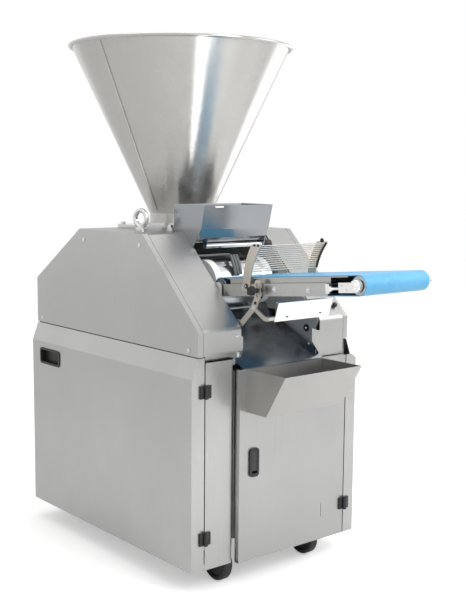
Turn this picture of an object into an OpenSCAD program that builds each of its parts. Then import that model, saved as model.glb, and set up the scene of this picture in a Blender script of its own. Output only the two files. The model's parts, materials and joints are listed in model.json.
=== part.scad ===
// Dough divider on casters with a conical hopper, a measuring drum and a discharge conveyor.
// Millimetres, +Z up, the conveyor leaves towards -Y.
// Heights are measured from the floor and depths from the front door's face.

/* [Cabinet] */
// Width of the lower cabinet over its side doors
cab_w = 720; // [700:5:780]
// Depth of the cabinet from the front door's face to the rear cover
cab_d = 1050; // [1030:5:1150]
// Height of the cabinet's lower edge above the floor
skirt_z = 75; // [60:5:90]
// Height of the fold where a side door leans inward
fold_z = 713; // [690:1:730]
// Height of a side door's top edge
door_top = 779; // [770:1:790]
// Set-back of the upper housing behind each side door
shoulder = 25; // [18:1:32]
// Depth of the fixed front sheets behind the front door's face
front_y = 22; // [18:1:30]
// Thickness of the cover sheets
sheet = 2; // [1.5:0.5:3]
// Gap between neighbouring cover sheets
seam = 3; // [2:0.5:4]

/* [Upper housing] */
// Height of the bend between the front sheets and the front slope
nose_z = 862; // [850:1:875]
// Height of the top deck
deck_z = 1158; // [1150:1:1175]
// Depth at which the front slope meets the deck
deck_front = 329; // [315:1:335]
// Depth at which the deck meets the rear slope
deck_rear = 730; // [724:1:760]
// Height of the rear wall below the rear slope
rear_wall_z = 954; // [945:1:980]
// Width of the folded edge in front of each side plate
edge_w = 20; // [12:1:26]

/* [Inner frame] */
// Inner face of the left frame plate, left of the middle
cheek_l = 166; // [160:1:175]
// Inner face of the right frame plate, right of the middle
cheek_r = 195; // [185:1:205]
// Thickness of the frame plates
cheek_t = 8; // [6:1:12]
// Width of the square frame tubes
rail = 40; // [30:5:50]
// Wall of the square frame tubes
rail_wall = 3; // [2:0.5:4]
// Height of the frame's underside
frame_z = 155; // [150:1:165]

/* [Front door and trough] */
// Left edge of the front door, left of the middle
door_l = 180; // [170:1:190]
// Hinge line of the front door, right of the middle
door_r = 310; // [300:1:320]
// Height of the front door's top edge
door_z = 728; // [715:1:740]
// Left end of the trough, left of the middle
trough_l = 150; // [130:1:165]
// Right end of the trough, right of the middle
trough_r = 195; // [180:1:210]
// Reach of the trough's rim in front of the door
trough_y = 185; // [160:1:200]
// Reach of the trough's floor in front of the door
trough_floor_y = 96; // [80:1:120]
// Depth of the trough
trough_h = 143; // [120:1:150]

/* [Hopper] */
// Outer radius of the hopper's rolled rim
hopper_r = 407; // [390:1:420]
// Height of the hopper's rim
hopper_z = 1815; // [1750:5:1850]
// Depth of the hopper's axis
hopper_y = 565; // [560:1:570]
// Outer radius of the hopper's spigot
spigot_r = 115; // [108:1:122]
// Length of the hopper's spigot
spigot_h = 43; // [30:1:60]
// Wall of the hopper
hopper_wall = 2.5; // [2:0.5:4]
// Radius of the rolled rim
rim_r = 6; // [4:0.5:8]
// Width of the hopper's base plate
base_w = 360; // [340:5:370]
// Length of the hopper's base plate
base_l = 335; // [320:5:340]
// Thickness of the hopper's base plate
base_t = 14; // [10:1:18]

/* [Drum] */
// Radius of the measuring drum
drum_r = 83; // [80:0.5:84]
// Half length of the steel drum
drum_half = 100; // [96:1:102]
// Thickness of each white end disc
disc_t = 28; // [20:1:30]
// Depth of the drum's axis
drum_y = 272; // [271:1:276]
// Height of the drum's axis
drum_z = 983; // [980:1:986]
// Radius of the drum's journals
journal_r = 20; // [16:1:24]
// Radius of the measuring pocket
pocket_r = 38; // [30:1:42]
// Middle of the measuring pocket along the drum, right of the middle
pocket_x = 45; // [40:1:50]
// Angle above level at which the pocket gives the dough to the belt
give_deg = 30; // [25:1:35]
// Travel of the measuring piston
measure_stroke = 60; // [40:1:62]
// Running clearance between a shaft and its bore
run = 0.05; // [0.03:0.01:0.08]
// Running gap between large neighbouring faces
gap = 0.3; // [0.3:0.05:0.5]

/* [Piston and knife] */
// Radius of the dough piston
ram_r = 62; // [58:0.5:64]
// Length of the dough piston
ram_l = 245; // [235:1:248]
// Travel of the dough piston
ram_stroke = 230; // [200:1:232]
// Length of the throat below the hopper
throat_l = 145; // [120:1:148]
// Half width of the throat and the knife
throat_half = 60; // [50:1:64]
// Thickness of the knife
knife_t = 7; // [5:0.5:8]
// Travel of the knife
knife_stroke = 165; // [150:1:168]

/* [Flour box] */
// Left side of the flour box, left of the middle
flour_l = 160; // [156:1:164]
// Right side of the flour box, right of the middle
flour_r = 140; // [130:1:150]
// Height of the flour box's rim
flour_z = 1254; // [1240:1:1270]
// Radius of the flour roller
flour_roller_r = 9; // [7:0.5:10]

/* [Conveyor] */
// Width of the belt
belt_w = 276; // [260:1:278]
// Thickness of the belt
belt_t = 2.5; // [2:0.25:3]
// Outer radius of the belt round a roller
belt_r = 31; // [28:0.5:31]
// Distance between the rollers
belt_span = 632; // [560:1:680]
// Climb of the belt towards its front
belt_deg = 5.4; // [4:0.1:6]
// Depth of the rear roller
tail_y = 154; // [150:1:154]
// Height of the rear roller
tail_z = 984; // [983:1:986]
// Height of the conveyor's side plates
side_h = 40; // [36:1:42]
// Thickness of the conveyor's side plates
side_t = 3; // [2:0.5:4]
// Radius of the conveyor's axles
axle_r = 8; // [6:0.5:10]

/* [Guard] */
// Number of rods in the guard
guard_rods = 13; // [8:1:14]
// Radius of the guard's rods
guard_rod_r = 2; // [1.2:0.1:2.2]
// Radius of the guard's curve
guard_r = 218; // [214:1:222]
// Width of the guard's arm
guard_arm_w = 38; // [30:1:40]

/* [Casters] */
// Radius of a wheel
wheel_r = 62.5; // [60:0.5:62.5]
// Width of a wheel
wheel_w = 35; // [30:1:38]
// Distance of the kingpins and rear wheels from the middle
caster_x = 198; // [180:1:220]
// Depth of the front kingpins
caster_front_y = 123; // [122:1:130]
// Distance of the rear wheels from the rear cover
caster_back = 100; // [90:1:120]
// Trail of a swivelling wheel
caster_trail = 35; // [30:1:38]

/* [Hidden] */
$fn = 48;

// Colours of the finishes
steel = [0.74, 0.74, 0.72];
bright = [0.90, 0.90, 0.89];
dark_steel = [0.36, 0.39, 0.42];
cast = [0.55, 0.56, 0.57];
black = [0.07, 0.07, 0.08];
white = [0.93, 0.93, 0.91];
blue = [0.30, 0.62, 0.86];
warm_steel = [0.72, 0.68, 0.61];
red = [0.80, 0.08, 0.06];
green = [0.10, 0.55, 0.22];
grey = [0.45, 0.47, 0.50];

// Faces of the cabinet
side_x = cab_w / 2;
upper_x = side_x - shoulder;
frame_x = upper_x - sheet;

// The conveyor's front roller and the hinge knuckles set the reach to the front and rear
head_y = tail_y - belt_span * cos(belt_deg);
head_z = tail_z + belt_span * sin(belt_deg);

// A point on the conveyor, u in front of the rear roller and v above its axis
function on_belt(u, v) =
    [tail_y - u * cos(belt_deg) + v * sin(belt_deg), tail_z + u * sin(belt_deg) + v * cos(belt_deg)];

// Depth of the rear wheels
caster_rear_y = cab_d - caster_back;

// Leaves and pins of the hinges
leaf_t = 6;
knuckle_r = 8;
pin_r = 4;
pin_off = knuckle_r + gap;
y_front = head_y - belt_r;
y_rear = cab_d + pin_off + knuckle_r;
y_mid = (y_front + y_rear) / 2;

// Slopes of the upper housing, as rise over run and as slant over run
front_k = (deck_z - nose_z) / (deck_front - front_y);
front_s = sqrt(1 + front_k * front_k);
rear_k = (deck_z - rear_wall_z) / (cab_d - deck_rear);
rear_s = sqrt(1 + rear_k * rear_k);

// Height of the front and rear slopes at a depth
function front_slope(y) = nose_z + front_k * (y - front_y);
function rear_slope(y) = rear_wall_z + rear_k * (cab_d - y);

// Corners of the housing's outline, moved inward by d
function nose(d) = [front_y + d, nose_z - d * (front_s - front_k)];
function brow(d) = [deck_front + d * (front_s - 1) / front_k, deck_z - d];
function crown(d) = [deck_rear - d * (rear_s - 1) / rear_k, deck_z - d];
function heel(d) = [cab_d - d, rear_wall_z - d * (rear_s - rear_k)];

// Points on an arc of radius r round c, from angle a to angle b
function arc(c, r, a, b, steps) =
    [for (i = [0 : steps]) let(t = a + (b - a) * i / steps) [c[0] + r * cos(t), c[1] + r * sin(t)]];

// Points that round the corner p between a and b with radius r
function bend(a, p, b, r, steps = 6) =
    let(u = (a - p) / norm(a - p), v = (b - p) / norm(b - p), half = acos(u * v) / 2,
        c = p + (u + v) / norm(u + v) * r / sin(half),
        from = p + u * r / tan(half) - c, to = p + v * r / tan(half) - c,
        t0 = atan2(from[1], from[0]), turn = atan2(from[0] * to[1] - from[1] * to[0], from * to))
    arc(c, r, t0, t0 + turn, steps);

// Everything is drawn from the front door's face and moved to the middle of the footprint
module in_frame() {
    translate([0, -y_mid, 0]) children();
}

module box(x, y, z) {
    translate([x[0], y[0], z[0]]) cube([x[1] - x[0], y[1] - y[0], z[1] - z[0]]);
}

module rod_x(x, y, z, r) {
    translate([x[0], y, z]) rotate([0, 90, 0]) cylinder(r = r, h = x[1] - x[0]);
}

module rod_y(x, y, z, r) {
    translate([x, y[0], z]) rotate([-90, 0, 0]) cylinder(r = r, h = y[1] - y[0]);
}

module rod_z(x, y, z, r) {
    translate([x, y, z[0]]) cylinder(r = r, h = z[1] - z[0]);
}

// A sheet cut to an outline in depth and height, from x[0] to x[1]
module slab_x(x, pts) {
    translate([x[0], 0, 0]) rotate([90, 0, 90]) linear_extrude(x[1] - x[0]) polygon(pts);
}

// A sheet cut to an outline in width and height, from y[0] to y[1]
module slab_y(y, pts) {
    translate([0, y[1], 0]) rotate([90, 0, 0]) linear_extrude(y[1] - y[0]) polygon(pts);
}

// Span of a square tube's hollow, from the tube's near side
function inside_rail(at) = [at + rail_wall, at + rail - rail_wall];

// Square tube along X
module tube_x(x, y, z) {
    difference() {
        box(x, [y, y + rail], [z, z + rail]);
        box([x[0] - 1, x[1] + 1], inside_rail(y), inside_rail(z));
    }
}

// Square tube along Y
module tube_y(x, y, z) {
    difference() {
        box([x, x + rail], y, [z, z + rail]);
        box(inside_rail(x), [y[0] - 1, y[1] + 1], inside_rail(z));
    }
}

// Square tube along Z
module tube_z(x, y, z) {
    difference() {
        box([x, x + rail], [y, y + rail], z);
        box(inside_rail(x), inside_rail(y), [z[0] - 1, z[1] + 1]);
    }
}

// Front edge of the hopper's base plate
base_y0 = hopper_y - base_l / 2 - 8;

// Edges of the opening between the two cheek panels
open_l = cheek_l - 8;
open_r = cheek_r + 4;

// Places of the frame's posts and rails
post_front_y = front_y + 12;
post_rear_y = cab_d - 50;
top_rail_z = door_top - rail;
cross_front_y = post_front_y + 86;
cross_rear_y = cab_d - 250;
pad_t = 12;
pad_z = frame_z - pad_t;
kingpin_r = 8;

// Welded frame: bottom rails, posts, top rails, cross rails and caster pads
module base_frame() {
    color(grey) in_frame() difference() {
        union() {
            for (s = [-1, 1]) {
                x = s > 0 ? frame_x - rail : -frame_x;
                tube_y(x, [post_front_y, post_rear_y + rail], frame_z);
                tube_y(x, [post_front_y, post_rear_y + rail], top_rail_z);
                for (y = [post_front_y, post_rear_y]) {
                    tube_z(x, y, [frame_z + rail, top_rail_z]);
                }
                for (y = [caster_front_y, caster_rear_y]) {
                    box([s * caster_x - 50, s * caster_x + 50], [y - 42, y + 42], [pad_z, frame_z]);
                }
            }
            for (y = [caster_front_y - rail / 2, caster_rear_y - rail / 2, pack_y[0], pack_y[1] - rail]) {
                tube_x([rail - frame_x, frame_x - rail], y, frame_z);
            }
            for (y = [cross_front_y, cross_rear_y]) {
                tube_x([-frame_x, frame_x], y, top_rail_z - rail);
            }
        }
        for (s = [-1, 1]) {
            rod_z(s * caster_x, caster_front_y, [pad_z - 1, frame_z + 1], kingpin_r + run);
        }
    }
}

// Places of the throat, the ram's cylinder and its tie
throat_y = [hopper_y - throat_l / 2, hopper_y + throat_l / 2];
ram_y = throat_y[1] + 8;
ram_end = ram_y + 24 + 20 + ram_stroke + 14;
tie_y = ram_end + 8.5;
tie_z = [drum_z - 45, drum_z + 5];

// Outline of a frame plate, which follows the housing 6 mm inside it
cheek_gap = 6;
cheek_foot = top_rail_z;
cheek_rear = tie_y + rail;
cheek_outline = concat(
    [[front_y + 20, cheek_foot], [front_y + 20, 775], [front_y + 20, 830]],
    [nose(cheek_gap), brow(cheek_gap), crown(cheek_gap)],
    [[cheek_rear, rear_slope(cheek_rear) - cheek_gap * rear_s], [cheek_rear, cheek_foot]]);

// Lugs inside the frame plates that carry the conveyor's rear axle
lug_t = 10;
lug_r = 16;
lug_x = [-open_l + 1, -open_l + 1 + lug_t];

// Two upright plates that carry the drum, tied together behind the ram's cylinder
module inner_frame() {
    color(cast) in_frame() difference() {
        union() {
            slab_x([-cheek_l - cheek_t, -cheek_l], cheek_outline);
            slab_x([cheek_r, cheek_r + cheek_t], cheek_outline);
            box([-cheek_l, cheek_r], [tie_y, tie_y + 20], tie_z);
            for (x = [lug_x, [cheek_r - lug_t, cheek_r]]) {
                rod_x(x, tail_y, tail_z, lug_r);
                box(x, [tail_y - lug_r, tail_y + lug_r], [tail_z - 50, tail_z]);
            }
            box([-cheek_l - 1, lug_x[0] + 1], [tail_y - lug_r, tail_y + lug_r], [tail_z - 50, tail_z - 26]);
            box([cheek_r + cheek_t, rack_x[1]], [rack_y[0] - 60, rack_y[1] - 40],
                [rack_z - 12, rack_z - gap]);
        }
        for (x = [-cheek_l - cheek_t - 1, cheek_r - 1]) {
            rod_x([x, x + cheek_t + 2], drum_y, drum_z, bearing_r);
        }
        rod_x([lug_x[0] - 1, lug_x[1] + 1], tail_y, tail_z, axle_r + run);
        rod_x([cheek_r - lug_t - 1, cheek_r], tail_y, tail_z, axle_r + run);
        rod_x([cheek_r - 1, cheek_r + cheek_t + 1], wheel_y, wheel_z, spindle_r + run);
        for (x = [-cheek_l - cheek_t - 1, cheek_r - 1]) {
            box([x, x + cheek_t + 2], [cross_front_y + 130, cross_rear_y - 120],
                [cheek_foot + 40, drum_z - 110]);
        }
    }
}

// Lifting eyes
eye_x = 236;
eye_y = 482;
eye_shank_r = 10;
eye_collar_r = 20;
eye_ring_r = 28;
eye_wire_r = 8;
eye_hole_r = 20;
eye_flat = 4;
eye_turn = 10;

// Neck of the hopper's base, which passes through the deck
neck_r = spigot_r - hopper_wall;

// Flat top sheet with the hole for the hopper's neck and the lifting eyes
module top_deck() {
    color(steel) in_frame() difference() {
        union() {
            box([-frame_x, frame_x], [deck_front + 18, crown(sheet)[0]], [deck_z - sheet, deck_z]);
            for (x = [[-frame_x, -cheek_panel_x - 0.5], [-open_l + 1, open_r - 1],
                [cheek_panel_x + 0.5, frame_x]]) {
                box(x, [brow(sheet)[0], deck_front + 19], [deck_z - sheet, deck_z]);
            }
        }
        rod_z(0, hopper_y, [deck_z - sheet - 1, deck_z + 1], neck_r + 1);
        for (s = [-1, 1]) {
            rod_z(s * eye_x, eye_y, [deck_z - sheet - 1, deck_z + 1], eye_shank_r + 0.5);
        }
    }
}

// Cable gland in the rear cover
gland_x = -150;
gland_z = 300;
gland_bore = 7;
gland_r = 12;
louvre_w = 120;
louvre_h = 6;
louvre_step = 22;
louvres = 7;

// Rear wall and rear slope, with cooling slots
module rear_cover() {
    color(steel) in_frame() difference() {
        union() {
            box([-side_x + 32, door_pin_x - 4], [cab_d - sheet, cab_d], [skirt_z, door_top + seam]);
            slab_x([-frame_x, frame_x], [[cab_d, door_top + seam], heel(0), crown(0), crown(sheet),
                heel(sheet), [cab_d - sheet, door_top + seam]]);
        }
        rod_y(gland_x, [cab_d - sheet - 1, cab_d + 1], gland_z, gland_r + 0.2);
        for (i = [0 : louvres - 1]) {
            z = 480 + i * louvre_step;
            box([-louvre_w / 2, louvre_w / 2], [cab_d - sheet - 1, cab_d + 1], [z, z + louvre_h]);
        }
    }
}

// Screws through each side plate into the housing
screw_r = 3;
screw_head_r = 7;
screw_places = [[front_y + 48, door_top + 21], [deck_front + 16, deck_z - 38], [deck_rear - 30, deck_z - 38],
    [cab_d - 40, door_top + 21]];

// Side of the upper housing with a folded edge along its front
module side_plate(s) {
    edge = [brow(0), nose(0), [front_y, door_top + seam], [front_y + sheet, door_top + seam],
        nose(sheet), brow(sheet)];
    difference() {
        union() {
            slab_x(s > 0 ? [frame_x, upper_x] : [-upper_x, -frame_x], [brow(0), nose(0),
                [front_y, door_top + seam], [cab_d, door_top + seam], heel(0), crown(0)]);
            slab_x(s > 0 ? [upper_x - edge_w, upper_x] : [-upper_x, edge_w - upper_x], edge);
        }
        for (p = screw_places) {
            rod_x([s * upper_x - 10, s * upper_x + 10], p[0], p[1], screw_r + 0.2);
        }
        if (s > 0) {
            rod_x([frame_x - 1, upper_x + 1], wheel_y, wheel_z, spindle_r + run);
        }
    }
}

module left_side_plate() {
    color(steel) in_frame() side_plate(-1);
}

module right_side_plate() {
    color(steel) in_frame() side_plate(1);
}

cheek_panel_x = upper_x - edge_w - 1;

// Sloping cheek panels beside the working opening, bent over at the deck and at the nose
bend_r = 24;
roll_r = 40;
cheek_low = 764;
roll_z = cheek_low + 26;
roll_end = 220;

module front_cheek_panels() {
    out = [deck_front + 18, deck_z];
    low = [front_y, nose_z - 40];
    slope = concat([out], bend(out, brow(0), nose(0), bend_r), bend(brow(0), nose(0), low, bend_r), [low],
        [low + [sheet, 0]], bend(low + [sheet, 0], nose(sheet), brow(sheet), bend_r - sheet),
        bend(nose(sheet), brow(sheet), out - [0, sheet], bend_r - sheet), [out - [0, sheet]]);
    roll = concat(arc([front_y + roll_r, roll_z], roll_r, 180, roll_end, 6),
        arc([front_y + roll_r, roll_z], roll_r - sheet, roll_end, 180, 6));
    color(steel) in_frame() {
        slab_x([-cheek_panel_x, -open_l], slope);
        slab_y([front_y, front_y + sheet], [[-cheek_panel_x, low[1] + 1], [-open_l, low[1] + 1],
            [-open_l, 836], [-150, 832], [-150, roll_z], [-cheek_panel_x, roll_z]]);
        slab_x([-door_pin_x + 2, -152], roll);
        box([-cheek_panel_x, -door_pin_x + 2], [front_y, front_y + sheet], [door_top + seam, roll_z + 1]);
        slab_x([open_r, cheek_panel_x], slope);
        slab_y([front_y, front_y + sheet], [[cheek_panel_x, low[1] + 1], [open_r - 10, low[1] + 1],
            [162, 833], [162, 788], [cheek_r + 0.5, 746], [cheek_r + 0.5, door_z + seam],
            [cheek_panel_x, door_z + seam]]);
    }
}

// Line of the side doors' pins
door_pin_x = side_x - 53;

// Fixed front sheets beside the front door: a flat one on the left, a folded strip on the right
side_roll = 16;
wheel_top = wheel_r * 2 + 12;

module lower_front_panels() {
    strip_x = door_r + 2;
    edge_a = [-door_pin_x + 2, front_y];
    edge_b = [-door_l - 3, front_y];
    edge_c = [-door_l - 3, front_y + side_roll + 2];
    inner_b = edge_b + [-sheet, sheet];
    outline = concat([edge_a], bend(edge_a, edge_b, edge_c, side_roll), [edge_c, edge_c - [sheet, 0]],
        bend(edge_c - [sheet, 0], inner_b, edge_a + [0, sheet], side_roll - sheet), [edge_a + [0, sheet]]);
    color(steel) in_frame() {
        difference() {
            translate([0, 0, skirt_z]) linear_extrude(cheek_low - 2 - skirt_z) polygon(outline);
            box([-door_l - 3 - side_roll * 2, -door_l], [front_y + sheet, edge_c[1] + 1],
                [skirt_z - 1, wheel_top]);
        }
        box([edge_a[0], edge_a[0] + sheet], [front_y, post_front_y], [frame_z, cheek_low - 2]);
        box([strip_x, side_x], [0, sheet], [skirt_z, fold_z]);
        box([side_x - sheet, side_x], [0, front_y - 2], [skirt_z, fold_z]);
        box([strip_x, strip_x + sheet], [0, post_front_y], [skirt_z, fold_z]);
        slab_y([0, sheet], [[strip_x, fold_z - 1], [side_x, fold_z - 1], [upper_x + 5, door_z],
            [strip_x, door_z]]);
    }
}

// Chute that leads loose flour and scraps from below the drum to the trough
chute_t = 2;
chute_line = [[-1, door_z + 0.6], [223, 826], [290, 872], [315, 905]];
chute_lip = 20;

module scrap_chute() {
    lift = [0, chute_t];
    band = concat(chute_line, [for (i = [len(chute_line) - 1 : -1 : 0]) chute_line[i] + lift]);
    start = chute_line[0] + (chute_line[1] - chute_line[0]) * 0.12;
    lip = [start, chute_line[1], chute_line[1] + [0, chute_lip], start + [0, chute_lip]];
    color(dark_steel) in_frame() {
        slab_x([-cheek_l, cheek_r], band);
        slab_x([cheek_r - 8 - sheet, cheek_r - 8], lip);
    }
}

// Hopper: cone, spigot and rolled rim
spigot_z = deck_z + base_t;

module hopper() {
    slant = (hopper_r - rim_r * 2 - spigot_r) / (hopper_z - rim_r - spigot_z - spigot_h);
    wall = hopper_wall * sqrt(1 + slant * slant);
    top = hopper_z - rim_r;
    top_r = hopper_r - rim_r * 2;
    color(bright) in_frame() translate([0, hopper_y, 0]) rotate_extrude($fn = 96) {
        polygon([[spigot_r - hopper_wall, spigot_z], [spigot_r, spigot_z], [spigot_r, spigot_z + spigot_h],
            [top_r, top], [top_r - wall, top], [spigot_r - hopper_wall, spigot_z + spigot_h + 1]]);
        translate([hopper_r - rim_r, top]) circle(r = rim_r, $fn = 24);
        translate([top_r - wall, top - 2]) square([rim_r + wall, 2]);
    }
}

// Base plate under the hopper with its clamping ring and its neck through the deck
module hopper_base() {
    y0 = base_y0;
    corner = 14;
    color(bright) in_frame() difference() {
        union() {
            box([-base_w / 2, base_w / 2], [y0 + corner, y0 + base_l - corner], [deck_z, spigot_z]);
            box([corner - base_w / 2, base_w / 2 - corner], [y0, y0 + base_l], [deck_z, spigot_z]);
            for (x = [corner - base_w / 2, base_w / 2 - corner], y = [y0 + corner, y0 + base_l - corner]) {
                rod_z(x, y, [deck_z, spigot_z], corner);
            }
            rod_z(0, hopper_y, [spigot_z, spigot_z + 9], spigot_r + 14);
            rod_z(0, hopper_y, [chamber_top, deck_z], neck_r);
        }
        rod_z(0, hopper_y, [spigot_z, spigot_z + 10], spigot_r);
        rod_z(0, hopper_y, [chamber_top - 1, spigot_z + 1], neck_r - 6);
        for (x = [1, -1] * (base_w / 2 - bolt_in), y = [y0 + bolt_in, y0 + base_l - bolt_in]) {
            rod_z(x, y, [deck_z - 1, spigot_z + 1], bolt_r + 0.5);
        }
    }
}

// Two lifting eyes screwed through the deck
module eye_bolts() {
    ring_z = deck_z + 16 + eye_ring_r;
    color(bright) in_frame() for (s = [-1, 1]) translate([s * eye_x, eye_y, 0]) {
        difference() {
            union() {
                rod_z(0, 0, [deck_z, deck_z + 10], eye_collar_r);
                rod_z(0, 0, [deck_z + 9, deck_z + 20], 13);
                rod_z(0, 0, [deck_z - 24, deck_z + 1], eye_shank_r);
                rod_z(0, 0, [deck_z - sheet - 8, deck_z - sheet], eye_collar_r - 2);
            }
            translate([0, 0, ring_z]) rotate([0, 90, s < 0 ? eye_turn : 0]) {
                cylinder(r = eye_ring_r, h = 30, center = true);
            }
        }
        translate([0, 0, ring_z]) rotate([0, 0, s < 0 ? eye_turn : 0]) rotate([0, 90, 0]) rotate_extrude() {
            translate([eye_ring_r, 0]) circle(r = eye_wire_r, $fn = 24);
            translate([eye_hole_r, -eye_flat]) square([eye_ring_r - eye_hole_r, eye_flat * 2]);
        }
    }
}

// Chamber block: the dough falls from the hopper and is pressed into the drum's pocket
chamber_half = 95;
chamber_y = [drum_y + 28, 770];
chamber_z = [drum_z - 68, deck_z - 8];
chamber_top = chamber_z[1];
knife_z = drum_z + ram_r + 5;
knife_y = throat_y[1] + 8;
knife_l = knife_stroke + 25;

module suction_chamber() {
    color(cast) in_frame() difference() {
        union() {
            slab_x([-chamber_half, chamber_half], [[chamber_y[0], chamber_z[0]], [chamber_y[0], 1060],
                [345, 1085], [430, chamber_z[1]], [chamber_y[1] - 60, chamber_z[1]], [chamber_y[1], 1100],
                [chamber_y[1], chamber_z[0]]]);
            box([-cheek_l, cheek_r], [480, 700], [chamber_z[0] - 1, chamber_z[0] + 20]);
        }
        rod_x([-chamber_half - 1, chamber_half + 1], drum_y, drum_z, drum_r + gap);
        rod_y(0, [chamber_y[0] - 1, chamber_y[1] + 1], drum_z, ram_r + run);
        rod_z(0, hopper_y, [chamber_z[1] - 40, chamber_z[1] + 1], neck_r - 6);
        box([-throat_half, throat_half], throat_y, [drum_z, chamber_z[1]]);
        box([-throat_half - gap, throat_half + gap], [throat_y[0] - 15, chamber_y[1] + 1],
            [knife_z - gap, knife_z + knife_t + gap]);
        box([0, chamber_half + 1], [knife_y - 8, chamber_y[1] + 1],
            [knife_z - gap, knife_z + knife_t + gap]);
    }
}

// Flanged bushes of the drum in the two frame plates
bearing_r = 42;

module drum_bearings() {
    color(bright) in_frame() for (s = [-1, 1]) {
        inner = s < 0 ? -cheek_l - cheek_t : cheek_r;
        outer = s < 0 ? inner - 12 : inner + cheek_t;
        difference() {
            union() {
                rod_x([inner, inner + cheek_t], drum_y, drum_z, bearing_r - 0.05);
                rod_x([outer, outer + 12], drum_y, drum_z, bearing_r + 14);
            }
            rod_x([inner - 20, inner + cheek_t + 20], drum_y, drum_z, journal_r + run);
        }
    }
}

// Cylinder barrels: one for the dough piston, one for the knife, one for the drum's rack
ram_barrel_r = 28;
ram_barrel_y = [ram_y + 24, tie_y];
ram_rod_r = 14;
knife_barrel_r = 14;
knife_barrel_x = chamber_half + 23;
knife_barrel_y = [knife_y + knife_l - 15 - knife_stroke - 190, knife_y + knife_l - 15 - knife_stroke - 8];
knife_rod_r = 6;
rack_rod_r = 6;
rack_barrel_r = 16;

module barrel(x, y, z, r, bore, rod) {
    difference() {
        rod_y(x, y, z, r);
        rod_y(x, [y[0] + 6, y[1] - 6], z, bore);
        children();
    }
}

module hydraulic_cylinders() {
    knife_mid = knife_z + knife_t / 2;
    color(bright) in_frame() {
        barrel(0, ram_barrel_y, drum_z, ram_barrel_r, ram_barrel_r - 6) {
            rod_y(0, [ram_barrel_y[0] - 1, ram_barrel_y[0] + 20], drum_z, ram_rod_r + run);
        }
        difference() {
            barrel(knife_barrel_x, knife_barrel_y, knife_mid, knife_barrel_r, knife_barrel_r - 3) {
                rod_y(knife_barrel_x, [knife_barrel_y[1] - 20, knife_barrel_y[1] + 1], knife_mid,
                    knife_rod_r + run);
            }
        }
        for (y = [knife_barrel_y[0] + 12, knife_barrel_y[1] - 24]) difference() {
            box([chamber_half, knife_barrel_x], [y, y + 12], [knife_mid - 12, knife_mid + 12]);
            rod_y(knife_barrel_x, [y - 1, y + 13], knife_mid, knife_barrel_r - 1);
        }
        barrel(rack_mid_x, rack_barrel_y, rack_rod_z, rack_barrel_r, rack_barrel_r - 4) {
            rod_y(rack_mid_x, [rack_barrel_y[0] - 1, rack_barrel_y[0] + 20], rack_rod_z, rack_rod_r + run);
        }
        for (y = [rack_barrel_y[0] + 10, rack_barrel_y[1] - 22]) difference() {
            box([cheek_r + cheek_t, rack_mid_x], [y, y + 12], [rack_rod_z - 12, rack_rod_z + 12]);
            rod_y(rack_mid_x, [y - 1, y + 13], rack_rod_z, rack_barrel_r - 1);
        }
    }
}

// Oil tank with its motor and pump, on the bottom rails
pack_y = [480, 860];
tank_x = 190;
tank_h = 210;

module hydraulic_pack() {
    z0 = frame_z + rail;
    mid = (pack_y[0] + pack_y[1]) / 2;
    color(dark_steel) in_frame() {
        difference() {
            box([-tank_x, tank_x], pack_y, [z0, z0 + tank_h]);
            box([4 - tank_x, tank_x - 4], [pack_y[0] + 4, pack_y[1] - 4], [z0 + 4, z0 + tank_h - 6]);
        }
        box([-tank_x - 8, tank_x + 8], [pack_y[0] - 8, pack_y[1] + 8], [z0 + tank_h, z0 + tank_h + 6]);
        rod_z(-60, mid, [z0 + tank_h + 6, z0 + tank_h + 26], 62);
        rod_z(-60, mid, [z0 + tank_h + 26, z0 + tank_h + 206], 72);
        rod_z(-60, mid, [z0 + tank_h + 206, z0 + tank_h + 236], 64);
        box([6, 40], [mid - 35, mid + 35], [z0 + tank_h + 90, z0 + tank_h + 170]);
        rod_z(120, mid + 90, [z0 + tank_h + 6, z0 + tank_h + 40], 26);
        box([70, 170], [mid - 110, mid - 40], [z0 + tank_h + 6, z0 + tank_h + 70]);
    }
}

// Flour box: two end plates, a bent front plate and a rear plate that leave a slot over the roller
flour_rear_y = 384;
flour_front_y = 212;
flour_knee = [233, 1171];
flour_tip = [279, front_slope(279) + 0.5];
flour_axis = [266, 1112];
flour_shaft_r = 3;

module flour_end(x, pts) {
    slab_x([x, x + sheet], pts);
}

module flour_box() {
    tail = [base_y0 - 0.5, deck_z];
    left = [[flour_rear_y, flour_z], tail, [deck_front, deck_z], flour_tip, [258, 1134], flour_knee,
        [flour_front_y, flour_z]];
    front = [[flour_front_y, flour_z], flour_knee, [246, 1142], [260, 1129], [262, 1131], [248, 1144],
        flour_knee + [2, 0.5], [flour_front_y + 2, flour_z]];
    rear = [[flour_rear_y - 2, flour_z], [deck_front - 2, deck_z + 2], [272, 1126], [274, 1124.5],
        [deck_front, deck_z + 0.4], [flour_rear_y, flour_z - 2]];
    lug = [[246, 1141], [260, 1129], [262, 1131], [276, 1128], [276, 1104], [256, 1104]];
    color(steel) in_frame() difference() {
        union() {
            flour_end(-flour_l - sheet, left);
            flour_end(flour_r, left);
            slab_x([-flour_l, flour_r], front);
            slab_x([-flour_l, flour_r], rear);
            slab_x([-flour_l + 36, -flour_l + 39], lug);
            slab_x([flour_r - 3, flour_r], lug);
        }
        rod_x([-flour_l + 30, flour_r + 10], flour_axis[0], flour_axis[1], flour_shaft_r + run);
    }
}

module flour_motor() {
    color(black) in_frame() difference() {
        union() {
            rod_x([flour_r + sheet, flour_r + 12], flour_axis[0], flour_axis[1], 12);
            rod_x([flour_r + 11, flour_r + 36], flour_axis[0], flour_axis[1], 14);
        }
        rod_x([flour_r, flour_r + 20], flour_axis[0], flour_axis[1], flour_shaft_r + run);
    }
}

// Rod from the left frame plate with the ribbed scraper finger in front of the drum
scraper_c = [343, 987];
scraper_in = 154;
scraper_out = 161;

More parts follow.
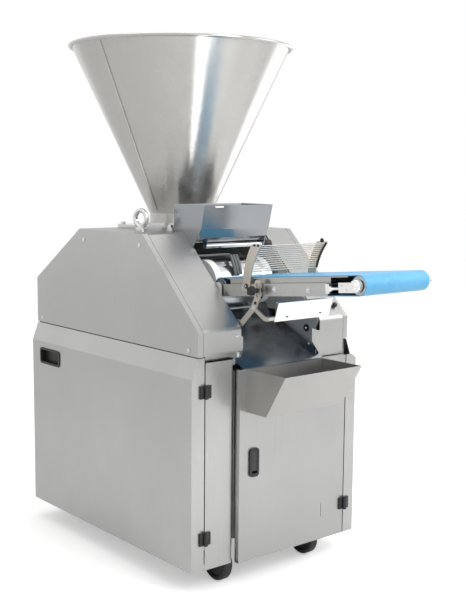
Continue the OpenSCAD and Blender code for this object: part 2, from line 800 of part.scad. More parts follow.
module drum_scraper() {
    color(dark_steel) in_frame() {
        rod_x([-cheek_l, -14], 262, drum_z + 98, 4);
        box([-38, -26], [216, 262], [drum_z + 90, drum_z + 96]);
        for (x = [-50, -38, -26]) {
            slab_x([x, x + 9], concat(arc(scraper_c, scraper_out, 169, 143, 8),
                arc(scraper_c, scraper_in, 143, 169, 8)));
        }
        slab_x([-50, -17], concat(arc(scraper_c, scraper_in + 3, 169, 143, 8),
            arc(scraper_c, scraper_in, 143, 169, 8)));
    }
}

// A hinge: two leaves on one pin, the pin at the origin and the fixed leaf towards +X
leaf_h = 42;
leaf_w = 13;
leaf_in = 9;

module leaf(fixed) {
    low = fixed ? 0 : leaf_h / 2 + gap / 2;
    high = fixed ? leaf_h / 2 - gap / 2 : leaf_h;
    s = fixed ? 1 : -1;
    difference() {
        union() {
            box(fixed ? [leaf_in, leaf_in + leaf_w] : [-leaf_in - leaf_w, -leaf_in],
                [pin_off - leaf_t, pin_off], [0, leaf_h]);
            box(fixed ? [0, leaf_in] : [-leaf_in, 0], [pin_off - leaf_t, pin_off - 1], [low, high]);
            rod_z(0, 0, [low, high], knuckle_r);
        }
        rod_z(0, 0, [-1, leaf_h + 1], pin_r + run);
    }
    if (fixed) {
        rod_z(0, 0, [-2, leaf_h + 2], pin_r);
    }
}

// Places of the hinges: the side doors' hinges mirror each other about the cabinet's middle
hinge_z = [162, 648];
front_hinge_z = [165, 649];

module at_left_hinge() {
    translate([-door_pin_x, front_y - pin_off, 0]) children();
}

module at_right_hinge() {
    translate([door_pin_x, cab_d + pin_off, 0]) rotate([0, 0, 180]) children();
}

module at_front_hinge() {
    translate([door_r, -pin_off, 0]) children();
}

// Fixed leaves of all hinges with their pins
module hinge_leaves() {
    color(black) in_frame() {
        for (z = hinge_z) {
            at_left_hinge() translate([0, 0, z]) leaf(true);
            at_right_hinge() translate([0, 0, z]) leaf(true);
        }
        for (z = front_hinge_z) {
            at_front_hinge() translate([0, 0, z]) leaf(true);
        }
    }
}

// Control box on the right side plate
ctrl_y = [560, 740];
ctrl_z = [985, 1085];
ctrl_d = 42;
ctrl_face = upper_x + ctrl_d;
button_z = (ctrl_z[0] + ctrl_z[1]) / 2;
start_y = ctrl_y[0] + 35;
stop_y = ctrl_y[0] + 80;
estop_y = ctrl_y[0] + 138;
stem_r = 8;

module control_box() {
    color(grey) in_frame() difference() {
        box([upper_x, ctrl_face], ctrl_y, ctrl_z);
        box([upper_x - 1, ctrl_face - 4], [ctrl_y[0] + 2, ctrl_y[1] - 2], [ctrl_z[0] + 2, ctrl_z[1] - 2]);
        for (y = [start_y, stop_y, estop_y]) {
            rod_x([ctrl_face - 5, ctrl_face + 1], y, button_z, stem_r + run);
        }
    }
}

// Inlet for the mains lead
module cable_gland() {
    color(black) in_frame() difference() {
        union() {
            rod_y(gland_x, [cab_d - 12, cab_d + 2], gland_z, gland_r);
            translate([gland_x, cab_d, gland_z]) rotate([-90, 0, 0]) cylinder(r = 16, h = 6, $fn = 6);
            rod_y(gland_x, [cab_d, cab_d + 14], gland_z, gland_r);
            translate([gland_x, cab_d - 10, gland_z]) rotate([-90, 0, 0]) cylinder(r = 16, h = 7.5, $fn = 6);
        }
        rod_y(gland_x, [cab_d - 13, cab_d + 15], gland_z, gland_bore);
    }
}

// Bolts of the hopper's base plate and screws of the side plates
bolt_r = 6;
bolt_in = 18;

module cap_screws() {
    y0 = base_y0;
    color(bright) in_frame() {
        for (x = [1, -1] * (base_w / 2 - bolt_in), y = [y0 + bolt_in, y0 + base_l - bolt_in]) {
            translate([x, y, spigot_z]) cylinder(r = 10, h = 8, $fn = 6);
            rod_z(x, y, [deck_z, spigot_z + 1], bolt_r);
        }
        for (p = screw_places, s = [-1, 1]) {
            rod_x(s > 0 ? [upper_x, upper_x + 3] : [-upper_x - 3, -upper_x], p[0], p[1], screw_head_r);
            rod_x(s > 0 ? [upper_x - 9, upper_x + 1] : [-upper_x - 1, 9 - upper_x], p[0], p[1], screw_r);
        }
    }
}

// Fork of a caster, its wheel's axle at the origin and its crown above it
fork_in = wheel_w / 2 + 1.5;
fork_t = 4;
caster_axle_r = 6;
crown_z = pad_z - 7;

module fork(trail) {
    top = crown_z - wheel_r;
    side = [[-16, 14], [-14, -8], [0, -16], [14, -8], [20 + trail, top - 4], [20 + trail, top], [-20, top]];
    for (s = [-1, 1]) {
        slab_x(s > 0 ? [fork_in, fork_in + fork_t] : [-fork_in - fork_t, -fork_in], side);
    }
    box([-fork_in - fork_t, fork_in + fork_t], [-20, 20 + trail], [top - fork_t, top]);
    rod_x([-fork_in - fork_t - 5, fork_in + fork_t + 5], 0, 0, caster_axle_r);
}

module rear_caster_forks() {
    color(black) in_frame() for (s = [-1, 1]) translate([s * caster_x, caster_rear_y, wheel_r]) {
        fork(10);
        box([-24, 24], [-20, 30], [crown_z - wheel_r - 1, pad_z - wheel_r]);
    }
}

// Slotted bracket at the left of the conveyor and the arms below it
plate_x = belt_w / 2 + 2;
knob_u = 202;
knob_v = -12;
knob_shaft_r = 4;
knob_p = on_belt(knob_u, knob_v);
tilt_deg = 4;
bracket_x = -plate_x - side_t - 6;
bracket_t = 4;
bracket_span = [bracket_x - bracket_t, bracket_x];
joint_p = [-31, 933];
slot_w = knob_shaft_r * 2 + 2.4;
slot_reach = knob_u * sin(tilt_deg + 1);
slot_foot = knob_p - [0, slot_reach + 6];

// A flat bar with round ends from point a to point b, each given as depth and height
module link_x(x, a, b, w) {
    n = [a[1] - b[1], b[0] - a[0]] / norm(b - a) * w / 2;
    slab_x(x, [a + n, a - n, b - n, b + n]);
    rod_x(x, a[0], a[1], w / 2);
    rod_x(x, b[0], b[1], w / 2);
}

module conveyor_brackets() {
    low = plate_low[1] + plate_low_t;
    up = (plate_low[0] - plate_low[1]) / norm(plate_low[0] - plate_low[1]);
    back = plate_low_t * 4;
    color(warm_steel) in_frame() {
        difference() {
            union() {
                link_x(bracket_span, joint_p, slot_foot, 24);
                link_x(bracket_span, slot_foot, knob_p + [0, slot_reach + 4], 26);
                link_x(bracket_span, joint_p, [30, 876], 18);
                link_x(bracket_span, [30, 876], [48, 879], 18);
                link_x(bracket_span, joint_p, [-82, 905], 14);
                link_x(bracket_span, [-82, 905], [-96, 903], 14);
            }
            link_x(bracket_span + [-1, 1], knob_p - [0, slot_reach], knob_p + [0.6, slot_reach], slot_w);
        }
        box([-cheek_l, bracket_span[1]], [42, 56], [862, 876]);
        slab_x([bracket_span[0], plate_low_x[0] + 8],
            [low + up * 4, low + up * 16, low + up * 16 + back, low + up * 4 + back]);
        rod_x([-cheek_l, -60], 100, 917, 3.5);
        translate([-60, 100, 917]) sphere(r = 6, $fn = 24);
    }
}

// Bright plate that closes the gap below the conveyor
plate_low_x = [-123, 118];
plate_low = [[-120, 956], [-99, 893]];
plate_low_t = [2, 0.6];

module lower_guard_plate() {
    color(bright) in_frame() {
        slab_x(plate_low_x,
            [plate_low[0], plate_low[1], plate_low[1] + plate_low_t, plate_low[0] + plate_low_t]);
        slab_x(plate_low_x,
            [plate_low[0], plate_low[0] + [14, 1], plate_low[0] + [14, -1], plate_low[0] + [0, -2]]);
    }
}

// The measuring drum with its journals and its pocket
drum_x = [-drum_half, drum_half];

module to_pocket() {
    translate([pocket_x, drum_y, drum_z]) rotate([90 - give_deg, 0, 0]) children();
}

module drum() {
    floor_r = drum_r - 15 - measure_stroke - 3;
    color(bright) in_frame() difference() {
        union() {
            rod_x(drum_x, drum_y, drum_z, drum_r);
            rod_x(journal_x, drum_y, drum_z, journal_r);
        }
        to_pocket() {
            translate([0, 0, floor_r]) cylinder(r = pocket_r + run, h = drum_r);
            translate([0, 0, -drum_r + 6]) cylinder(r = 8 + run, h = drum_r);
        }
    }
}

module drum_end_discs() {
    color(white) in_frame() for (s = [-1, 1]) difference() {
        rod_x(s > 0 ? [drum_half, drum_half + disc_t] : [-drum_half - disc_t, -drum_half],
            drum_y, drum_z, drum_r);
        rod_x([-drum_half - disc_t - 1, drum_half + disc_t + 1], drum_y, drum_z, journal_r);
    }
}

// Rack and pinion that turn the drum
gear_m = 4;
gear_teeth = 20;
gear_r = gear_m * gear_teeth / 2;
gear_w = 22;
rack_x = [cheek_r + cheek_t + 18, cheek_r + cheek_t + 18 + gear_w + 2];
rack_mid_x = (rack_x[0] + rack_x[1]) / 2;
turn_deg = 180 - give_deg;
rack_travel = gear_r * turn_deg * PI / 180;
rack_z = drum_z - gear_r - gear_m * 1.2 - 18;
rack_y = [drum_y - 25, drum_y + rack_travel + 34];
rack_rod_z = rack_z + 9;
rack_barrel_y = [rack_y[1] + 14, rack_y[1] + 34 + rack_travel];
journal_x = [-cheek_l - cheek_t - 20, rack_x[1] + 4];

module drum_pinion() {
    step = 360 / gear_teeth;
    root = gear_r - gear_m * 1.2;
    tip = gear_r + gear_m;
    color(cast) in_frame() translate([rack_x[0] + 1, drum_y, drum_z]) difference() {
        rotate([90, 0, 90]) linear_extrude(gear_w) union() {
            circle(r = root, $fn = 80);
            for (i = [0 : gear_teeth - 1]) rotate(-90 + i * step) {
                polygon([[root - 1, -root * sin(step * 0.3)], [gear_r, -gear_r * sin(step * 0.21)],
                    [tip, -tip * sin(step * 0.11)], [tip, tip * sin(step * 0.11)],
                    [gear_r, gear_r * sin(step * 0.21)], [root - 1, root * sin(step * 0.3)]]);
            }
        }
        rod_x([-1, gear_w + 1], 0, 0, journal_r);
    }
}

module drum_rack() {
    pitch = PI * gear_m;
    line = drum_z - gear_r;
    first = ceil((rack_y[0] - drum_y) / pitch);
    last = floor((rack_y[1] - drum_y) / pitch) - 1;
    color(cast) in_frame() {
        box(rack_x, rack_y, [rack_z, rack_z + 18]);
        for (i = [first : last]) {
            y = drum_y + (i + 0.5) * pitch;
            slab_x(rack_x, [[y - pitch * 0.3, rack_z + 17], [y - pitch * 0.21, line],
                [y - pitch * 0.11, line + gear_m], [y + pitch * 0.11, line + gear_m],
                [y + pitch * 0.21, line], [y + pitch * 0.3, rack_z + 17]]);
        }
        rod_y(rack_mid_x, [rack_y[1] - 1, rack_y[1] + 22 + rack_travel], rack_rod_z, rack_rod_r);
    }
}

// Piston in the drum's pocket, curved like the drum on its outside
module measuring_piston() {
    color(white) in_frame() difference() {
        intersection() {
            to_pocket() union() {
                translate([0, 0, drum_r - 15]) cylinder(r = pocket_r, h = 30);
                translate([0, 0, drum_r - 35 - measure_stroke]) cylinder(r = 8, h = measure_stroke + 30);
            }
            rod_x([pocket_x - 60, pocket_x + 60], drum_y, drum_z, drum_r - 0.1);
        }
    }
}

// Hollow piston that presses the dough, and the rod that pushes it
module main_piston() {
    color(bright) in_frame() difference() {
        rod_y(0, [ram_y, ram_y + ram_l], drum_z, ram_r);
        rod_y(0, [ram_y + 20, ram_y + ram_l + 1], drum_z, ram_barrel_r + 6);
    }
}

module ram_rod() {
    color(steel) in_frame() {
        rod_y(0, [ram_y + 20, ram_end], drum_z, ram_rod_r);
        rod_y(0, [ram_end - 12, ram_end], drum_z, ram_barrel_r - 6.1);
    }
}

// Knife that closes the throat, with its lug and rod
module knife() {
    knife_mid = knife_z + knife_t / 2;
    tail = knife_y + knife_l;
    color(bright) in_frame() {
        slab_x([-throat_half, throat_half], [[knife_y, knife_z], [knife_y + 8, knife_z + knife_t],
            [tail, knife_z + knife_t], [tail, knife_z]]);
        box([throat_half - 1, knife_barrel_x + 10], [tail - 15, tail], [knife_z, knife_z + knife_t]);
        rod_y(knife_barrel_x, [tail - 15 - 180, tail - 7], knife_mid, knife_rod_r);
    }
}

module flour_roller() {
    color(bright) in_frame() {
        rod_x([-flour_l + 40, flour_r - 4], flour_axis[0], flour_axis[1], flour_roller_r);
        rod_x([-flour_l + 35, flour_r + 10], flour_axis[0], flour_axis[1], flour_shaft_r);
    }
}

// The conveyor lies along its own axis: u runs forward from the rear roller, v stands square on it
module on_conveyor() {
    translate([0, tail_y, tail_z]) rotate([-belt_deg, 0, 0]) children();
}

roller_r = belt_r - belt_t - gap;
side_end = belt_span - 122;
block_u = belt_span - 68;
lug_u = 16;

// Span across of the side plate on side s
function plate_span(s) = s > 0 ? [plate_x, plate_x + side_t] : [-plate_x - side_t, -plate_x];

module conveyor_frame() {
    top = 9;
    color(steel) in_frame() on_conveyor() {
        for (s = [-1, 1]) difference() {
            union() {
                box(plate_span(s), [-side_end, 14], [top - side_h, top]);
                rod_x(plate_span(s), 0, 0, 20);
            }
            rod_x([s * plate_x - 5, s * plate_x + 5], -knob_u, knob_v, knob_shaft_r + run);
        }
        rod_x([guard_x[0] - 4, -plate_x], -guard_u, guard_v, guard_pin_r);
        rod_x([plate_x, guard_x[1] + 4], -guard_u, guard_v, guard_pin_r);
        rod_x([lug_x[0], cheek_r - gap], 0, 0, axle_r);
        for (u = [60, 300, side_end - 20]) {
            rod_x([-plate_x, plate_x], -u, -6, 8);
        }
        box([-plate_x, plate_x], [-belt_span + 40, -40], [roller_r - 3, roller_r]);
        for (s = [-1, 1]) {
            box(s > 0 ? [plate_x - 14, plate_x - 12] : [12 - plate_x, 14 - plate_x],
                [-side_end, -40], [-12, roller_r - 2]);
        }
    }
}

// Belt loop round both rollers
module conveyor_belt() {
    half = belt_w / 2;
    inner = belt_r - belt_t;
    color(blue) in_frame() on_conveyor() difference() {
        union() {
            box([-half, half], [-belt_span, 0], [-belt_r, belt_r]);
            rod_x([-half, half], 0, 0, belt_r);
            rod_x([-half, half], -belt_span, 0, belt_r);
        }
        box([-half - 1, half + 1], [-belt_span, 0], [-inner, inner]);
        rod_x([-half - 1, half + 1], 0, 0, inner);
        rod_x([-half - 1, half + 1], -belt_span, 0, inner);
    }
}

// Sliding bearing blocks with the front axle and their adjusting screws
module conveyor_tensioners() {
    color(bright) in_frame() on_conveyor() {
        for (s = [-1, 1]) {
            x = s > 0 ? [plate_x, plate_x + 12] : [-plate_x - 12, -plate_x];
            mid = (x[0] + x[1]) / 2;
            box(x, [-belt_span - 6, -block_u], [-20, 10]);
            rod_x(x, -belt_span, 0, 18);
            box(x, [-side_end - lug_u, -side_end], [-22, 6]);
            translate([mid, -block_u - 1, -8]) rotate([-90, 0, 0]) {
                cylinder(r = 4, h = block_u - side_end + 1);
            }
            translate([mid, -side_end - lug_u, -8]) rotate([90, 0, 0]) cylinder(r = 8, h = 6, $fn = 6);
        }
        rod_x([-plate_x - 12, plate_x + 46], -belt_span, 0, axle_r);
        rod_x([plate_x + 12, plate_x + 24], -belt_span, 0, 14);
    }
}

module roller() {
    difference() {
        rod_x([2 - belt_w / 2, belt_w / 2 - 2], 0, 0, roller_r);
        rod_x([-belt_w / 2, belt_w / 2], 0, 0, axle_r + run);
    }
}

module rear_roller() {
    color(grey) in_frame() on_conveyor() roller();
}

module front_roller() {
    color(grey) in_frame() on_conveyor() translate([0, -belt_span, 0]) roller();
}

// Guard over the belt: a curved arm on each side with thin rods between
guard_u = 143;
guard_v = 2;
guard_pin_r = 4;
guard_foot = on_belt(guard_u, guard_v);
guard_c = [guard_foot[0] - guard_r, guard_foot[1]];
guard_top = 42;
guard_low = 14;
guard_arm_t = 3.7;
guard_x = [-plate_x - side_t - 4, plate_x + side_t + 4];

module front_guard() {
    inner = guard_r - guard_arm_w / 2;
    outer = guard_r + guard_arm_w / 2;
    band = concat(arc(guard_c, outer, 0, guard_top - 7, 16), arc(guard_c, inner, guard_top + 2, 0, 16));
    color(warm_steel) in_frame() {
        for (x = [guard_x[0], guard_x[1] - guard_arm_t]) difference() {
            union() {
                slab_x([x, x + guard_arm_t], band);
                rod_x([x, x + guard_arm_t], guard_foot[0], guard_foot[1], guard_arm_w / 2);
            }
            rod_x([x - 1, x + guard_arm_t + 1], guard_foot[0], guard_foot[1], guard_pin_r + run);
        }
        for (i = [0 : guard_rods - 1]) {
            t = guard_low + (guard_top - 1 - guard_low) * i / (guard_rods - 1);
            p = guard_c + (inner + 4) * [cos(t), sin(t)];
            rod_x(guard_x + [1, -1], p[0], p[1], guard_rod_r);
        }
    }
}

// Knob that clamps the conveyor's tilt through the slotted bracket
star_r = 15;
star_t = 16;
star_x = bracket_x - bracket_t - 16;

module tilt_knob() {
    color(black) in_frame() on_conveyor() translate([0, -knob_u, knob_v]) difference() {
        union() {
            rod_x([star_x - star_t, star_x], 0, 0, star_r);
            rod_x([star_x - 1, bracket_x - bracket_t - gap], 0, 0, 8);
            rod_x([bracket_x - bracket_t - 2, -plate_x], 0, 0, knob_shaft_r);
        }
        for (i = [0 : 4]) rotate([i * 72, 0, 0]) {
            rod_x([star_x - star_t - 1, star_x + 0.5], star_r + 3, 0, 6);
        }
    }
}

// Side door: flat sheet with a leaning top, a return at the hinge end and one at the far end
module side_door() {
    lean = (side_x - upper_x - 1) / (door_top - fold_z);
    skin = [[-side_x, skirt_z], [-side_x, fold_z], [-upper_x - 1, door_top], [sheet - upper_x - 1, door_top],
        [sheet - side_x, fold_z + 0.8], [sheet - side_x, skirt_z]];
    face = [[-side_x, skirt_z], [-door_pin_x - 2, skirt_z], [-door_pin_x - 2, door_top],
        [-upper_x - 1, door_top], [-side_x, fold_z]];
    difference() {
        union() {
            slab_y([front_y, cab_d - sheet - 1], skin);
            slab_y([front_y, front_y + sheet], face);
            slab_y([cab_d - sheet * 2 - 1, cab_d - sheet - 1], [[-side_x, skirt_z], [-side_x + 28, skirt_z],
                [-side_x + 28, fold_z], [-side_x, fold_z]]);
            box([1 - side_x, 20 - side_x], [front_y, cab_d - sheet - 1], [skirt_z, skirt_z + sheet]);
        }
        pad_x([-side_x - 1, sheet - side_x + 1], cup_y, cup_z, cup_r);
    }
}

// A plate with four round corners, lying in depth and height
module pad_x(x, y, z, r) {
    box(x, y, [z[0] + r, z[1] - r]);
    box(x, [y[0] + r, y[1] - r], z);
    for (p = [y[0] + r, y[1] - r], q = [z[0] + r, z[1] - r]) {
        rod_x(x, p, q, r);
    }
}

// Recess of the side door's handle
cup_y = [841, 988];
cup_z = [628, 690];
cup_d = 20;
cup_r = 13;

module side_fittings() {
    difference() {
        pad_x([-side_x - 3, cup_d - side_x], cup_y + [0.2, -0.2], cup_z + [0.2, -0.2], cup_r);
        pad_x([-side_x - 4, cup_d - side_x - 3], cup_y + [9, -9], cup_z + [8, -8], cup_r - 5);
    }
    for (z = hinge_z) {
        at_left_hinge() translate([0, 0, z]) leaf(false);
    }
}

module turned() {
    translate([0, cab_d + front_y, 0]) rotate([0, 0, 180]) children();
}

module left_door() {
    color(steel) in_frame() side_door();
}

module right_door() {
    color(steel) in_frame() turned() side_door();
}

module left_door_fittings() {
    color(black) in_frame() side_fittings();
}

module right_door_fittings() {
    color(black) in_frame() turned() side_fittings();
}

// Front door: shallow sheet box
handle_x = -118;
handle_z = [362, 460];
handle_w = 40;
handle_r = 12;

module front_door() {
    deep = front_y - 2;
    color(steel) in_frame() difference() {
        box([-door_l, door_r - 2], [0, deep], [skirt_z, door_z]);
        box([sheet - door_l, door_r - 2 - sheet], [sheet, deep + 1], [skirt_z + sheet, door_z - sheet]);
        box([handle_x - 14, handle_x + 14], [-1, sheet + 1], [handle_z[0] + 8, handle_z[1] - 8]);
        box([198, 200], [-1, sheet + 1], [158, 206]);
    }
}

// Open wedge-shaped trough on the front door
module trough() {
    z0 = door_z - trough_h;
    t = sheet;
    outer = [[0, door_z], [-trough_y, door_z], [-trough_floor_y, z0], [0, z0]];
    inner = [[-t, door_z + 1], [t * 1.3 - trough_y, door_z + 1], [t - trough_floor_y, z0 + t], [-t, z0 + t]];
    color(steel) in_frame() difference() {
        slab_x([-trough_l, trough_r], outer);
        slab_x([t - trough_l, trough_r - t], inner);
    }
}

module front_door_fittings() {
    half = handle_w / 2 - handle_r;
    low = handle_z[0] + handle_r;
    high = handle_z[1] - handle_r;
    rim = concat(arc([handle_x + half, high], handle_r, 0, 90, 6),
        arc([handle_x - half, high], handle_r, 90, 180, 6),
        arc([handle_x - half, low], handle_r, 180, 270, 6),
        arc([handle_x + half, low], handle_r, 270, 360, 6));
    color(black) in_frame() {
        difference() {
            slab_y([-6, 0], rim);
            box([handle_x - 11, handle_x + 11], [-7, 1], [handle_z[0] + 12, handle_z[1] - 12]);
        }
        difference() {
            box([handle_x - 13.8, handle_x + 13.8], [-1, front_y - 6],
                [handle_z[0] + 8.2, handle_z[1] - 8.2]);
            box([handle_x - 11, handle_x + 11], [-7, front_y - 8], [handle_z[0] + 12, handle_z[1] - 12]);
            rod_x([handle_x - 20, handle_x + 20], 5, handle_z[0] + 26, 2 + run);
        }
        for (z = front_hinge_z) {
            at_front_hinge() translate([0, 0, z]) leaf(false);
        }
    }
}

module front_handle() {
    color(dark_steel) in_frame() {
        box([handle_x - 10.5, handle_x + 10.5], [-5, 2], [handle_z[0] + 20, handle_z[1] - 13]);
        box([handle_x - 10.5, handle_x + 10.5], [1, 9], [handle_z[0] + 20, handle_z[0] + 32]);
        rod_x([handle_x - 13, handle_x + 13], 5, handle_z[0] + 26, 2);
    }
}

// Swivelling forks under the front of the frame
module swivel_fork(s) {
    translate([s * caster_x, caster_front_y - caster_trail, wheel_r]) {
        fork(caster_trail);
        translate([0, caster_trail, -wheel_r]) {
            rod_z(0, 0, [crown_z - 1, pad_z - gap], 20);
            rod_z(0, 0, [crown_z, frame_z - 2], kingpin_r);
        }
        box([-14, 14], [-46, -20], [crown_z - wheel_r - 6, crown_z - wheel_r - 2]);
    }
}

module front_left_fork() {
    color(black) in_frame() swivel_fork(-1);
}

module front_right_fork() {
    color(black) in_frame() swivel_fork(1);
}

module wheel(x, y) {
    edge = 5;
    translate([x, y, wheel_r]) rotate([0, 90, 0]) rotate_extrude($fn = 64) polygon([
        [caster_axle_r + run, -wheel_w / 2 + 2], [20, -wheel_w / 2 + 2], [24, -wheel_w / 2 + 7],
        [46, -wheel_w / 2 + 7], [50, -wheel_w / 2], [wheel_r - edge, -wheel_w / 2],
        [wheel_r, -wheel_w / 2 + edge], [wheel_r, wheel_w / 2 - edge], [wheel_r - edge, wheel_w / 2],
        [50, wheel_w / 2], [46, wheel_w / 2 - 7],
        [24, wheel_w / 2 - 7], [20, wheel_w / 2 - 2], [caster_axle_r + run, wheel_w / 2 - 2]]);
}

module front_left_wheel() {
    color(black) in_frame() wheel(-caster_x, caster_front_y - caster_trail);
}

module front_right_wheel() {
    color(black) in_frame() wheel(caster_x, caster_front_y - caster_trail);
}

module rear_left_wheel() {
    color(black) in_frame() wheel(-caster_x, caster_rear_y);
}

module rear_right_wheel() {
    color(black) in_frame() wheel(caster_x, caster_rear_y);
}

// Handwheel that sets the measuring piston's stop
wheel_y = 450;
wheel_z = 900;
spindle_r = 8;
hand_r = 62;

module handwheel() {
    color(bright) in_frame() translate([0, wheel_y, wheel_z]) {
        rod_x([cheek_r - 4, upper_x + 30], 0, 0, spindle_r);
        rod_x([upper_x + 1, upper_x + 30], 0, 0, 16);
        for (a = [0, 120, 240]) rotate([a, 0, 0]) {
            translate([upper_x + 24, 0, 8]) cylinder(r = 5, h = hand_r - 8);
        }
        translate([upper_x + 24, 0, 0]) rotate([0, 90, 0]) rotate_extrude() {
            translate([hand_r - 8, 0]) circle(r = 7, $fn = 24);
        }
    }
}

// Push buttons on the control box
module button(y, r, h, lift) {
    translate([0, y, button_z]) {
        rod_x([ctrl_face - 12, ctrl_face + lift + 1], 0, 0, stem_r);
        rod_x([ctrl_face + lift, ctrl_face + lift + h], 0, 0, r);
    }
}

module start_button() {
    color(green) in_frame() button(start_y, 12, 5, 4);
}

module stop_button() {
    color(black) in_frame() button(stop_y, 12, 5, 4);
}

module emergency_stop() {
    color(red) in_frame() button(estop_y, 20, 12, 8);
}

base_frame();
inner_frame();
top_deck();
rear_cover();
left_side_plate();
right_side_plate();
front_cheek_panels();
lower_front_panels();
scrap_chute();
hopper();
hopper_base();
eye_bolts();
suction_chamber();
drum_bearings();
hydraulic_cylinders();
hydraulic_pack();
flour_box();
flour_motor();
drum_scraper();
hinge_leaves();
control_box();
cable_gland();
cap_screws();
rear_caster_forks();
conveyor_brackets();
lower_guard_plate();
drum();
drum_end_discs();
drum_pinion();
measuring_piston();
drum_rack();
main_piston();
ram_rod();
knife();
flour_roller();
conveyor_frame();
conveyor_belt();
conveyor_tensioners();
front_roller();
rear_roller();
front_guard();
tilt_knob();
left_door();
right_door();
front_door();
trough();
left_door_fittings();
right_door_fittings();
front_door_fittings();
front_handle();
front_left_fork();
front_right_fork();
front_left_wheel();
front_right_wheel();
rear_left_wheel();
rear_right_wheel();
handwheel();
start_button();
stop_button();
emergency_stop();
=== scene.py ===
import json
import math

import bmesh
import bpy
from mathutils import Matrix, Vector


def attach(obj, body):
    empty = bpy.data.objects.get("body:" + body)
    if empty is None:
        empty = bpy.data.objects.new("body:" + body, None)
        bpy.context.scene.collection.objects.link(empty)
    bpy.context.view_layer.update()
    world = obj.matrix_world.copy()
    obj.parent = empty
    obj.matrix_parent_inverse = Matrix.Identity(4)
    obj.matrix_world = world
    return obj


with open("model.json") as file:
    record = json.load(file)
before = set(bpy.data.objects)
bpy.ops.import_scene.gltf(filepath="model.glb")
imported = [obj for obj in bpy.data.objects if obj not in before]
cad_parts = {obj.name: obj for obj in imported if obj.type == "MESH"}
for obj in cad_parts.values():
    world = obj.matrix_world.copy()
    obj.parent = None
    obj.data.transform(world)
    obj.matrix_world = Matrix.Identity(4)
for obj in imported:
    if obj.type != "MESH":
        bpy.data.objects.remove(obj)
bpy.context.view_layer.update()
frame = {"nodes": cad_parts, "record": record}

NODES = frame["nodes"]

# Depth of the footprint's middle behind the front door's face, in metres
Y_MID = 0.2800524


def at(x, y, z):
    """A point given in mm from the front door's face and the floor, in the row frame in metres."""
    return Vector((x / 1000, y / 1000 - Y_MID, z / 1000))


def math_node(tree, operation, a, b):
    """A Math node on two values, each a socket or a number."""
    node = tree.nodes.new("ShaderNodeMath")
    node.operation = operation
    for socket, value in zip(node.inputs, (a, b)):
        if isinstance(value, bpy.types.NodeSocket):
            tree.links.new(value, socket)
        else:
            socket.default_value = value
    return node.outputs[0]


# Materials
class Tree:
    """A material's nodes, with short ways to add and link them."""

    def __init__(self, name):
        self.mat = bpy.data.materials.new(name)
        self.mat.use_nodes = True
        self.tree = self.mat.node_tree
        self.bsdf = self.tree.nodes["Principled BSDF"]
        coords = self.tree.nodes.new("ShaderNodeTexCoord")
        self.coords = coords.outputs["Object"]

    def add(self, kind, **sockets):
        node = self.tree.nodes.new(kind)
        for key, value in sockets.items():
            self.set(node, key, value)
        return node

    def set(self, node, key, value):
        socket = node.inputs[key.replace("_", " ")]
        if isinstance(value, bpy.types.NodeSocket):
            self.tree.links.new(value, socket)
        else:
            socket.default_value = value

    def noise(self, scale, detail=4.0, stretch=(1, 1, 1), rough=0.5):
        mapping = self.add("ShaderNodeMapping", Vector=self.coords)
        mapping.inputs["Scale"].default_value = stretch
        node = self.add("ShaderNodeTexNoise", Vector=mapping.outputs["Vector"])
        node.inputs["Scale"].default_value = scale
        node.inputs["Detail"].default_value = detail
        node.inputs["Roughness"].default_value = rough
        return node.outputs["Fac"]

    def remap(self, value, low, high, start=0.3, end=0.7):
        node = self.add("ShaderNodeMapRange", Value=value)
        node.inputs["From Min"].default_value = start
        node.inputs["From Max"].default_value = end
        node.inputs["To Min"].default_value = low
        node.inputs["To Max"].default_value = high
        return node.outputs["Result"]

    def mix(self, fac, a, b, mode="MIX"):
        node = self.tree.nodes.new("ShaderNodeMix")
        node.data_type = "RGBA"
        node.blend_type = mode
        for socket, value in ((0, fac), (6, a), (7, b)):
            if isinstance(value, bpy.types.NodeSocket):
                self.tree.links.new(value, node.inputs[socket])
            else:
                node.inputs[socket].default_value = value
        return node.outputs[2]

    def bump(self, height, strength, distance):
        node = self.add("ShaderNodeBump", Height=height)
        node.inputs["Strength"].default_value = strength
        node.inputs["Distance"].default_value = distance
        self.tree.links.new(node.outputs["Normal"], self.bsdf.inputs["Normal"])

    def link(self, output, key):
        self.tree.links.new(output, self.bsdf.inputs[key])


# Depth of all surface grain, in metres
RELIEF = 0.0004


def rgba(c, k):
    """A colour times a factor, with alpha."""
    return (c[0] * k, c[1] * k, c[2] * k, 1.0)


ALONG, ACROSS = 3.0, 900.0
GRAIN = {
    "x": (ALONG, ACROSS, ACROSS), "y": (ACROSS, ALONG, ACROSS), "z": (ACROSS, ACROSS, ALONG),
    "none": (ACROSS, ACROSS, ACROSS),
}


